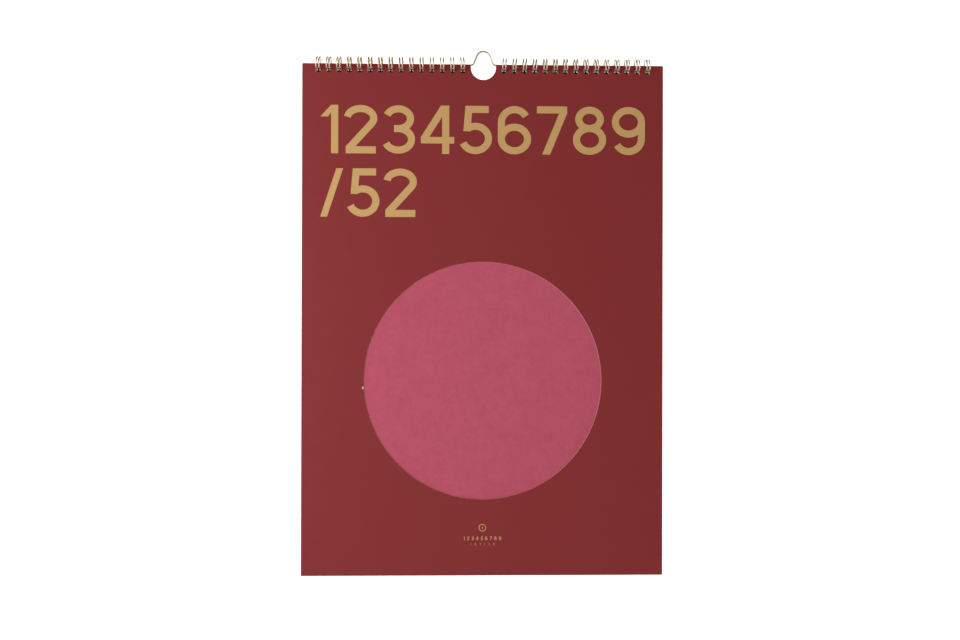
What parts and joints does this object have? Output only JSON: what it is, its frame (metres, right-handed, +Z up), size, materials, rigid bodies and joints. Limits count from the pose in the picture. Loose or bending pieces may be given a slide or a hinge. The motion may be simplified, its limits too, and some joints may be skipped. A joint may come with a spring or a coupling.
{
  "type": "wall calendar",
  "caption": "Upright wire-bound wall calendar: a card cover with a round window, a block of sheets and a backing board on double wire loops, hung by a humped wire.",
  "frame": {"origin": "nail seat: top of the space inside the hanger's hump, in the middle of the hanger wire", "axes": "+X to the viewer's right, -Y out of the front cover, +Z up along the sheets' long side"},
  "size_m": [0.297, 0.0124, 0.4326],
  "materials": {
    "burgundy_card": "matte",
    "pink_paper": "matte",
    "grey_board": "matte",
    "brass_wire": "satin"
  },
  "bodies": {
    "hanger": {"hanger_wire": "brass_wire"},
    "binding": {"binding_wire_left": "brass_wire", "binding_wire_right": "brass_wire", "page_block": "pink_paper", "back_board": "grey_board"},
    "cover": {"front_cover": "burgundy_card"}
  },
  "joints": [
    {"name": "hanger_swing", "type": "hinge", "parent": "hanger", "child": "binding", "pos_m": [0, 0, -0.01065], "axis": [-1, 0, 0], "range_deg": [-45, 170]},
    {"name": "cover_turn", "type": "hinge", "parent": "binding", "child": "cover", "pos_m": [0, -0.0043, -0.01065], "axis": [-1, 0, 0], "range_deg": [0, 250]}
  ]
}
